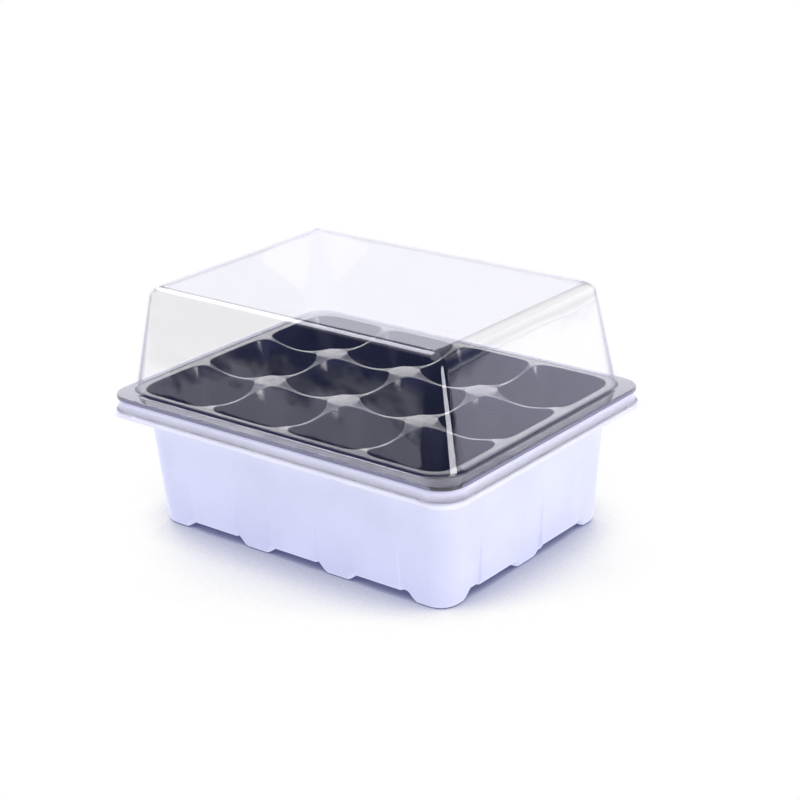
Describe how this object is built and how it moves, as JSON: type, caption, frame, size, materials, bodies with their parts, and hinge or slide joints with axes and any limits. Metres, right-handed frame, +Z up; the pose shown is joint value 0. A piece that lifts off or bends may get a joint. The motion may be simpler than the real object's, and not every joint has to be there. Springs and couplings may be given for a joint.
{
  "type": "humidity dome tray",
  "caption": "Seed tray kit: clear humidity dome on a black tray of open cells with drain holes, hung in a white base tray with feet.",
  "frame": {"origin": "under the middle of the base tray's feet, on the plane that they stand on", "axes": "+X along the long side, +Y along the short side, +Z up"},
  "size_m": [0.19, 0.145, 0.11],
  "materials": {
    "white_plastic": "opaque white vacuum-formed sheet with a soft gloss and a faint lavender cast",
    "black_plastic": "black vacuum-formed sheet, glossy",
    "clear_plastic": "thin clear vacuum-formed sheet, glossy"
  },
  "bodies": {
    "base": {"base_rim": "white_plastic", "base_walls": "white_plastic", "base_floor": "white_plastic"},
    "cell_tray": {"cell_tray_rim": "black_plastic", "cell_cup_1_1": "black_plastic", "cell_cup_1_2": "black_plastic", "cell_cup_1_3": "black_plastic", "cell_cup_2_1": "black_plastic", "cell_cup_2_2": "black_plastic", "cell_cup_2_3": "black_plastic", "cell_cup_3_1": "black_plastic", "cell_cup_3_2": "black_plastic", "cell_cup_3_3": "black_plastic", "cell_cup_4_1": "black_plastic", "cell_cup_4_2": "black_plastic", "cell_cup_4_3": "black_plastic"},
    "dome": {"humidity_dome": "clear_plastic"}
  },
  "joints": [
    {"name": "cell_tray_lift", "type": "slide", "parent": "base", "child": "cell_tray", "axis": [0, 0, 1], "range_m": [0, 0.07]},
    {"name": "dome_lift", "type": "slide", "parent": "cell_tray", "child": "dome", "axis": [0, 0, 1], "range_m": [0, 0.08]}
  ]
}
